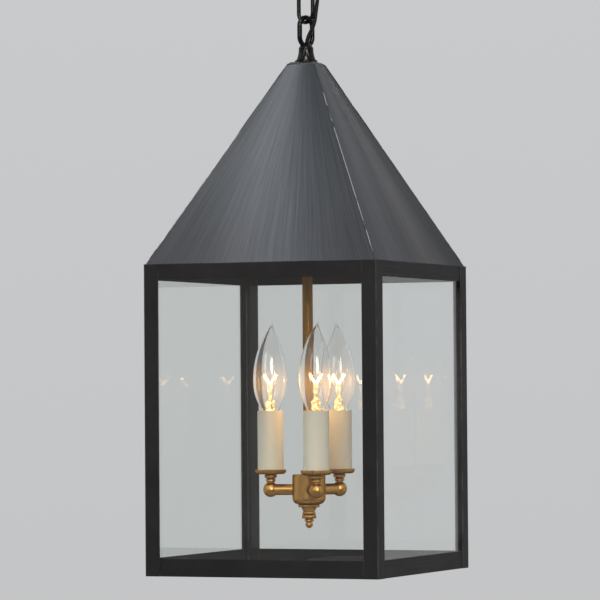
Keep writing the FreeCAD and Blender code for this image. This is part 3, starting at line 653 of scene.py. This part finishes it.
def tube_mesh(name, lines, width, steps, roundness):
    """The mesh of round tubes along smooth lines, closed at their ends."""
    curve = bpy.data.curves.new(name, "CURVE")
    curve.dimensions = "3D"
    curve.resolution_u = steps
    curve.bevel_depth = width / 2
    curve.bevel_resolution = roundness
    curve.use_fill_caps = True
    for points in lines:
        add_line(curve, points)
    drawn = bpy.data.objects.new(name, curve)
    scene.collection.objects.link(drawn)
    bpy.context.view_layer.update()
    mesh = bpy.data.meshes.new_from_object(drawn.evaluated_get(bpy.context.evaluated_depsgraph_get()))
    mesh.name = name
    bpy.data.objects.remove(drawn)
    bpy.data.curves.remove(curve)
    return mesh


def new_piece(name, mesh, finish):
    """A piece with one finish in its mesh's material slot, in the scene."""
    piece = bpy.data.objects.new(name, mesh)
    scene.collection.objects.link(piece)
    mesh.materials.clear()
    mesh.materials.append(finishes[finish])
    return piece


def saved(work, name):
    """A mesh from a finished bmesh, with smooth faces."""
    mesh = bpy.data.meshes.new(name)
    work.to_mesh(mesh)
    work.free()
    mesh.shade_smooth()
    return mesh


print("tube and piece helpers ready")

# %% The lead's route
LEAD_WIDTH = 0.0036
LEAD_STEPS, LEAD_ROUNDNESS = 12, 6
LOOP_TURN = math.radians(68)
NECK_CROWN = 0.0182
LEAD_ROUTE = [
    (0, 0, -0.0084), (0, 0, 0.0026), (0.0034, 0.0078, 0.0164), (0.0046, 0.0089, 0.0296),
    (0.0046, 0.0116, 0.0436), (0.0036, 0.0102, 0.0556), (0.002, 0.0006, 0.0664),
    (0.0036, -0.0099, 0.0779), (0.0046, -0.0114, 0.0904), (0.0046, -0.0089, 0.1036),
    (0.0034, -0.0078, 0.1168), (0, 0, 0.1302), (0, 0, 0.1412),
]
neck_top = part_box("hanging_loop")[0].z + NECK_CROWN
along = Vector((math.cos(LOOP_TURN), math.sin(LOOP_TURN), 0))
across = Vector((math.sin(LOOP_TURN), -math.cos(LOOP_TURN), 0))
route = [along * a + across * b + Vector((0, 0, neck_top + up)) for a, b, up in LEAD_ROUTE]
lead_mesh = tube_mesh("lead", [route], LEAD_WIDTH, LEAD_STEPS, LEAD_ROUNDNESS)
print("lead from", round(route[0].z, 4), "to", round(route[-1].z, 4), "m")

# %% The lead's lengths
SAME_POINT = 1e-6
CUT_EDGE = math.radians(50)
hinge_heights = [joint["pos_m"][2] for joint in frame["joints"]]
cuts = [math.inf] + [(high + low) / 2 for high, low in zip(hinge_heights, hinge_heights[1:])] + [-math.inf]


def lead_length(mesh, high, low):
    """The part of the lead between two heights, closed at its cut ends."""
    work = bmesh.new()
    work.from_mesh(mesh)
    bmesh.ops.remove_doubles(work, verts=work.verts, dist=SAME_POINT)
    for height, outwards in ((high, 1), (low, -1)):
        if math.isinf(height):
            continue
        everything = work.verts[:] + work.edges[:] + work.faces[:]
        cut = bmesh.ops.bisect_plane(work, geom=everything, plane_co=(0, 0, height),
                                     plane_no=(0, 0, outwards), clear_outer=True)
        rim = [item for item in cut["geom_cut"] if isinstance(item, bmesh.types.BMEdge)]
        bmesh.ops.holes_fill(work, edges=rim)
    bmesh.ops.recalc_face_normals(work, faces=work.faces)
    length = saved(work, "lead_length")
    length.set_sharp_from_angle(angle=CUT_EDGE)
    return length


for joint, high, low in zip(frame["joints"], cuts, cuts[1:]):
    piece = new_piece(f"lead_{joint['child']}", lead_length(lead_mesh, high, low), "black_lead")
    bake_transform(piece)
    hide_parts("supply_cord")
bpy.data.meshes.remove(lead_mesh)

# %% [markdown]
# ## Soldered hips
# The four roof sheets meet in hips that are soldered and filed. The line of solder has worn bright in
# places. A painted line would be flat, so each hip gets a slim bead, bent by a little noise, and the
# finish shows bright solder only where the patina has rubbed off: along most of the lower hip, and in
# a short dash near the top.

# %% Solder finish
RUBBED_BANDS = [(0.06, 0.66, 0.12), (0.78, 0.86, 0.11)]
BAND_EDGE = 0.03
KEPT_DARK = -0.10
RUB_PATCHES = (9, 9, 22)
SPECK_SHARE = 0.12
SOLDER_TONES = ((0.045, 0.048, 0.053, 1), (0.36, 0.36, 0.36, 1))


def share_between(tree, value, low, high):
    """How far a value is from low to high, from 0 to 1."""
    inputs = {"Value": value, "From Min": low, "From Max": high}
    return add_node(tree, "ShaderNodeMapRange", inputs).outputs[0]


def band_wear(tree, up):
    """The wear along a hip, by the share of its height: more in the rubbed bands, and dark elsewhere."""
    worn = KEPT_DARK
    for low, high, wear in RUBBED_BANDS:
        start = spread(tree, up, low - BAND_EDGE, low + BAND_EDGE, KEPT_DARK, wear)
        end = spread(tree, up, high - BAND_EDGE, high + BAND_EDGE, wear, KEPT_DARK)
        worn = calc(tree, "MAXIMUM", worn, calc(tree, "MINIMUM", start, end))
    return worn


def solder_finish():
    material, tree, shader = start_material("worn_solder", Metallic=0.8)
    place = own_place(tree)
    rubbed = stretched_noise(tree, place, RUB_PATCHES, roughness=0.6)
    specks = noise(tree, place, scale=700, detail=2)
    worn = band_wear(tree, share_between(tree, axes_of(tree, place)[2], eave_low.z, eave_high.z))
    bright = weigh(tree, calc(tree, "ADD", rubbed, worn), 1, specks, SPECK_SHARE)
    paint(tree, shader, spread(tree, bright, 0.54, 0.64, 0, 1), *SOLDER_TONES)
    vary_roughness(tree, shader, specks, 0.3, 0.45)
    return material


finishes["worn_solder"] = solder_finish()
print("made", finishes["worn_solder"].name, "with", len(RUBBED_BANDS), "rubbed bands")

# %% Hip seams
SEAM_WIDTH = 0.0008
SEAM_SIDES = 8
SEAM_STEPS = 48
SEAM_START = 0.03
SEAM_WANDER = 0.00012
SEAM_SEED = 4
CORNER_WAYS = ((1, -1), (1, 1), (-1, 1), (-1, -1))


def hip_bead(foot, top):
    """A slim rod along a hip, extruded step by step from its foot, with a slight wander."""
    work = bmesh.new()
    ring = bmesh.ops.create_circle(work, cap_ends=True, radius=SEAM_WIDTH / 2, segments=SEAM_SIDES)["verts"]
    turn = (top - foot).to_track_quat("Z", "Y").to_matrix()
    bmesh.ops.rotate(work, verts=ring, matrix=turn)
    bmesh.ops.translate(work, verts=ring, vec=foot)
    end = work.faces[:]
    place = foot
    for index in range(1, SEAM_STEPS + 1):
        grown = bmesh.ops.extrude_face_region(work, geom=end)["geom"]
        bmesh.ops.delete(work, geom=end, context="FACES_ONLY")
        ring = [item for item in grown if isinstance(item, bmesh.types.BMVert)]
        end = [item for item in grown if isinstance(item, bmesh.types.BMFace)]
        sway = Vector((random.uniform(-1, 1), random.uniform(-1, 1), 0)) * SEAM_WANDER
        next_place = foot.lerp(top, index / SEAM_STEPS) + sway
        bmesh.ops.translate(work, verts=ring, vec=next_place - place)
        place = next_place
    bmesh.ops.recalc_face_normals(work, faces=work.faces)
    return work


random.seed(SEAM_SEED)
for corner, (x_way, y_way) in zip(CORNERS, CORNER_WAYS):
    eave = Vector((x_way * ROOF_HALF_WIDTH, y_way * ROOF_HALF_WIDTH, eave_low.z))
    top = Vector((x_way * ROOF_HALF_TOP, y_way * ROOF_HALF_TOP, eave_high.z))
    foot = eave.lerp(top, SEAM_START)
    seam = saved(hip_bead(foot, top), f"hip_seam_{corner}")
    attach(new_piece(f"hip_seam_{corner}", seam, "worn_solder"), "lantern")
print("hips", round((top - foot).length, 4), "m long")

# %% [markdown]
# ## The glass foot in each bulb
# Each bulb has a pressed glass foot with a rod. The foot was turned in a flame, so its outline, in
# millimetres, is spun about the bulb's axis, and its press is squeezed flat. A loft of rings would do
# it too, with more code. Bulbs are screwed in until they stop, so each faces its own way.

# %% Bulb feet
MM = 0.001
UP = Vector((0, 0, 1))
FOOT_OUTLINE = [
    (0, 0.2), (4.1, 0.2), (3.5, 3), (3.1, 8), (3.3, 10.4), (4.6, 12.2), (4.8, 14), (3.6, 15.6), (4.5, 17.2),
    (4.3, 19.4), (2.2, 21.2), (1.4, 23), (1.3, 30.5), (2.1, 31.8), (2.3, 33), (1.6, 34.4), (0, 34.9),
]
FOOT_SIDES = 20
FOOT_ROUNDING = 2
PRESS_LOW, PRESS_HIGH = 10, 21
PRESS_FLATNESS = 0.68
BULB_FACING = {"front": 31, "back": 12, "left": 20}


def bulb_seat(name):
    """The middle of a bulb's foot, at its lowest point."""
    low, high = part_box(f"bulb_mount_{name}")
    return Vector(((low.x + high.x) / 2, (low.y + high.y) / 2, low.z))


def bulb_foot(name):
    work = bmesh.new()
    verts = [work.verts.new((radius * MM, 0, height * MM)) for radius, height in FOOT_OUTLINE]
    edges = [work.edges.new(pair) for pair in zip(verts, verts[1:])]
    bmesh.ops.spin(work, geom=verts + edges, cent=(0, 0, 0), axis=UP, angle=math.tau, steps=FOOT_SIDES,
                   use_merge=True)
    bmesh.ops.remove_doubles(work, verts=work.verts, dist=SAME_POINT)
    press = [vert for vert in work.verts if PRESS_LOW * MM < vert.co.z < PRESS_HIGH * MM]
    bmesh.ops.scale(work, verts=press, vec=(1, PRESS_FLATNESS, 1))
    turn = Quaternion((0, 0, 1), math.radians(BULB_FACING[name]))
    bmesh.ops.rotate(work, verts=work.verts, matrix=turn.to_matrix())
    bmesh.ops.translate(work, verts=work.verts, vec=bulb_seat(name))
    bmesh.ops.recalc_face_normals(work, faces=work.faces)
    mesh = saved(work, f"bulb_foot_{name}")
    piece = new_piece(f"bulb_foot_{name}", mesh, "pressed_glass")
    rounding = piece.modifiers.new("rounding", "SUBSURF")
    rounding.levels = FOOT_ROUNDING
    rounding.render_levels = FOOT_ROUNDING
    return piece


print("foot outline of", len(FOOT_OUTLINE), "points")

# %% [markdown]
# ## Wires and filament
# Two wires rise from the foot, a third holds up the middle, and the filament hangs between them in a
# V. A straight glowing rod would pass from afar, but the turns of a coil show close to, so each leg of
# the V is a helix. Sizes are in millimetres from the foot's seat.

# %% Bulb wires and filaments
CANDLES = ("front", "back", "left")
WIRE_WIDTH = 0.55
FILAMENT_SPAN, FILAMENT_HIGH, FILAMENT_LOW = 11.5, 43.5, 35.6
HALF_SPAN = FILAMENT_SPAN / 2
WIRE_LINE = [(1.5, 17), (1.8, 21.5), (3.6, 31), (HALF_SPAN, 40), (HALF_SPAN, FILAMENT_HIGH + 0.6)]
HOLDER_LINE = [(0, 0, 34), (0, 0, FILAMENT_LOW - 0.3)]
COIL_RADIUS, COIL_WIRE, COIL_TURNS, COIL_POINTS = 0.8, 0.5, 9, 8
COIL_GAP = 0.5
THIN_STEPS, THIN_ROUNDNESS = 2, 1
OUT_OF_PLANE = Vector((0, 1, 0))


def bulb_lines(name, bulb, lines, width, finish):
    """Wire along lines, each a list of (along the filament's plane, out of it, height)."""
    facing = math.radians(BULB_FACING[bulb])
    side = Vector((math.cos(facing), math.sin(facing), 0))
    out = side.cross(UP)
    seat = bulb_seat(bulb)
    placed = [[seat + (side * a + out * b + UP * up) * MM for a, b, up in line] for line in lines]
    mesh = tube_mesh(name, placed, width * MM, THIN_STEPS, THIN_ROUNDNESS)
    mesh.shade_smooth()
    return new_piece(name, mesh, finish)


def coil(start, end):
    """A helix from start to end, which are (along, height) in the filament's plane."""
    along_leg = Vector((end[0] - start[0], 0, end[1] - start[1]))
    beside = along_leg.normalized().cross(OUT_OF_PLANE)
    points = []
    for index in range(COIL_TURNS * COIL_POINTS + 1):
        share = index / (COIL_TURNS * COIL_POINTS)
        angle = math.tau * index / COIL_POINTS
        place = Vector((start[0], 0, start[1])) + along_leg * share
        points.append(place + (beside * math.cos(angle) + OUT_OF_PLANE * math.sin(angle)) * COIL_RADIUS)
    return points


wires = [[(way * out, 0, up) for out, up in WIRE_LINE] for way in (-1, 1)] + [HOLDER_LINE]
legs = [coil((way * HALF_SPAN, FILAMENT_HIGH), (way * COIL_GAP, FILAMENT_LOW)) for way in (-1, 1)]
for name in CANDLES:
    for piece in (
        bulb_foot(name),
        bulb_lines(f"bulb_wires_{name}", name, wires, WIRE_WIDTH, "support_wire"),
        bulb_lines(f"filament_{name}", name, legs, COIL_WIRE, "glowing_filament"),
    ):
        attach(piece, "lantern")
        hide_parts(f"bulb_mount_{name}")
print("filaments", FILAMENT_SPAN, "mm across")

# %% [markdown]
# ## Studio world
# The lantern hangs in a plain studio, pale all round and brighter above. A studio that is as pale on
# the viewer's side would veil the panes with its reflection. So reflections find that side dim, low
# down, and so does bounced light that goes out through the panes. Anyone who looks straight out sees
# the pale tone on every side.

# %% World
SKY_HIGH = (0.66, 0.67, 0.69, 1)
SKY_LOW = (0.50, 0.50, 0.50, 1)
SKY_BOTTOM, SKY_TOP = -0.6, 0.8
ROOM_TONE = (0.22, 0.22, 0.22, 1)
ROOM_SIDE, ROOM_MIDDLE = 0.2, 0.8
ROOM_DARK_TO, ROOM_PALE_FROM = 0.18, 0.55
FILL_STRENGTH = 0.6
ANY_BOUNCE = 0.5
world = bpy.data.worlds.new("studio")
scene.world = world
world.use_nodes = True
sky = world.node_tree
backdrop = sky.nodes["Background"]
heading = add_node(sky, "ShaderNodeTexCoord").outputs["Generated"]
height = axes_of(sky, heading)[2]
pale = blend_colour(sky, spread(sky, height, SKY_BOTTOM, SKY_TOP, 0, 1), SKY_LOW, SKY_HIGH)
path = add_node(sky, "ShaderNodeLightPath").outputs
seen = calc(sky, "MAXIMUM", path["Is Camera Ray"], path["Is Glossy Ray"])
seen = calc(sky, "MAXIMUM", seen, path["Is Transmission Ray"])
mirrored = calc(sky, "GREATER_THAN", path["Glossy Depth"], ANY_BOUNCE)
returned = calc(sky, "MAXIMUM", mirrored, calc(sky, "GREATER_THAN", path["Diffuse Depth"], ANY_BOUNCE))
in_front = vector_calc(sky, "DOT_PRODUCT", heading, towards_camera)
in_room = spread(sky, in_front, ROOM_SIDE, ROOM_MIDDLE, 0, 1)
in_room = calc(sky, "MULTIPLY", in_room, spread(sky, height, ROOM_DARK_TO, ROOM_PALE_FROM, 1, 0))
dim = calc(sky, "MULTIPLY", in_room, calc(sky, "MULTIPLY", seen, returned))
sky.links.new(blend_colour(sky, dim, pale, ROOM_TONE), backdrop.inputs["Color"])
sky.links.new(spread(sky, seen, 0, 1, FILL_STRENGTH, 1), backdrop.inputs["Strength"])
print("world", world.name, "with", len(sky.nodes), "nodes")

# %% [markdown]
# ## Soft boxes
# Brass shows what is around it, so an even room makes it dull. A photographer hangs soft boxes for
# the long highlights. Lamps in the scene would light everything else as well, so these two are drawn
# in the world and show only in reflections. Each row gives an azimuth, the lowest and the highest
# elevation, half a width as a sine, and a brightness.

# %% Soft boxes
BOX_TONE = (1.0, 0.95, 0.87, 1)
BOX_EDGE = 0.06
SOFT_BOXES = [(-13, 10, 32, 0.13, 3.2), (36, 8, 25, 0.14, 19)]


def soft_box(azimuth, low, high, half_width, brightness):
    """Light in the directions of an upright box between two elevations, and none elsewhere."""
    ahead = direction(math.radians(azimuth), 0)
    beside = calc(sky, "ABSOLUTE", vector_calc(sky, "DOT_PRODUCT", heading, ahead.cross(UP)))
    share = spread(sky, beside, half_width - BOX_EDGE, half_width + BOX_EDGE, brightness, 0)
    for elevation, below, above in ((low, 0, 1), (high, 1, 0)):
        level = math.sin(math.radians(elevation))
        inside = spread(sky, height, level - BOX_EDGE, level + BOX_EDGE, below, above)
        share = calc(sky, "MULTIPLY", share, inside)
    on_this_side = calc(sky, "GREATER_THAN", vector_calc(sky, "DOT_PRODUCT", heading, ahead), 0)
    return calc(sky, "MULTIPLY", share, on_this_side)


lit = calc(sky, "ADD", *[soft_box(*box) for box in SOFT_BOXES])
lit = calc(sky, "MULTIPLY", lit, mirrored)
boxes = add_node(sky, "ShaderNodeBackground", {"Color": BOX_TONE, "Strength": lit})
whole = add_node(sky, "ShaderNodeAddShader", {0: backdrop.outputs[0], 1: boxes.outputs[0]})
sky.links.new(whole.outputs[0], sky.nodes["World Output"].inputs["Surface"])
print(len(SOFT_BOXES), "soft boxes")

# %% [markdown]
# ## Lamps
# One main lamp is high in front, with weaker ones on the left, in front, on the right and behind. A
# single lamp would leave one side of the roof black. Each row gives a name, an azimuth, an elevation,
# a distance, a size, a power and a colour. They are hidden from rays through glass, or their square
# shapes would show behind the panes.

# %% Lamps
LAMPS = [
    ("key", 21, 52, 2.6, 0.7, 28, (0.98, 0.99, 1.0)),
    ("left", -60, 30, 2.8, 0.9, 2.5, (0.94, 0.97, 1.0)),
    ("front", 5, 15, 2.6, 0.6, 6.5, (1.0, 0.96, 0.92)),
    ("right", 62, 34, 2.6, 0.35, 5.5, (1.0, 0.70, 0.52)),
    ("back", 205, 50, 2.8, 1.0, 11, (1.0, 0.85, 0.72)),
]


def add_lamp(name, kind, power, colour):
    """A lamp in the scene that doesn't show through glass."""
    lamp = bpy.data.objects.new(name, bpy.data.lights.new(name, kind))
    scene.collection.objects.link(lamp)
    lamp.data.energy = power
    lamp.data.color = colour
    lamp.visible_transmission = False
    return lamp


for name, azimuth, elevation, distance, size, power, colour in LAMPS:
    lamp = add_lamp(f"{name}_lamp", "AREA", power, colour)
    lamp.data.size = size
    way = direction(math.radians(azimuth), math.radians(elevation))
    look_along(lamp, CAMERA_AIM + way * distance, -way)
print(len(LAMPS), "lamps")

# %% [markdown]
# ## Light of the bulbs
# The filaments are too thin to light the sleeves without a lot of noise. A small lamp in each bulb
# does that job, and it swings with the lantern. It stays out of sight, because the filament is what
# is seen.

# %% Bulb light
BULB_POWER = 0.13
BULB_COLOUR = (1.0, 0.64, 0.33)
for name in CANDLES:
    glow = add_lamp(f"glow_{name}", "POINT", BULB_POWER, BULB_COLOUR)
    glow.data.shadow_soft_size = HALF_SPAN * MM
    glow.visible_camera = False
    glow.visible_glossy = False
    glow.location = bulb_seat(name) + UP * FILAMENT_HIGH * MM
    glow.parent = frame["bodies"]["lantern"]
print(len(CANDLES), "bulbs lit")

# %% [markdown]
# ## Floor
# A round pale floor lies a room's height below the ceiling. A square one would show its edges from
# above, so this one fades out before it ends, and no line shows.

# %% Floor
FLOOR_LEVEL = -2.6
FLOOR_RADIUS = 3.0
FLOOR_SIDES = 96
FLOOR_TONE = (0.62, 0.62, 0.61, 1)
FADE_START, FADE_END = 0.45, 0.98


def floor_finish():
    material, tree, shader = start_material("pale_floor", Roughness=0.9, Base_Color=FLOOR_TONE)
    from_middle = vector_calc(tree, "LENGTH", vector_calc(tree, "MULTIPLY", own_place(tree), (1, 1, 0)))
    faded = spread(tree, from_middle, FLOOR_RADIUS * FADE_START, FLOOR_RADIUS * FADE_END, 1, 0)
    join(tree, faded, shader, "Alpha")
    return material


work = bmesh.new()
bmesh.ops.create_circle(work, cap_ends=True, radius=FLOOR_RADIUS, segments=FLOOR_SIDES)
bmesh.ops.translate(work, verts=work.verts, vec=UP * FLOOR_LEVEL)
floor_mesh = bpy.data.meshes.new("floor")
work.to_mesh(floor_mesh)
work.free()
floor_mesh.materials.append(floor_finish())
floor = bpy.data.objects.new("floor", floor_mesh)
scene.collection.objects.link(floor)
print("floor at", FLOOR_LEVEL, "m")
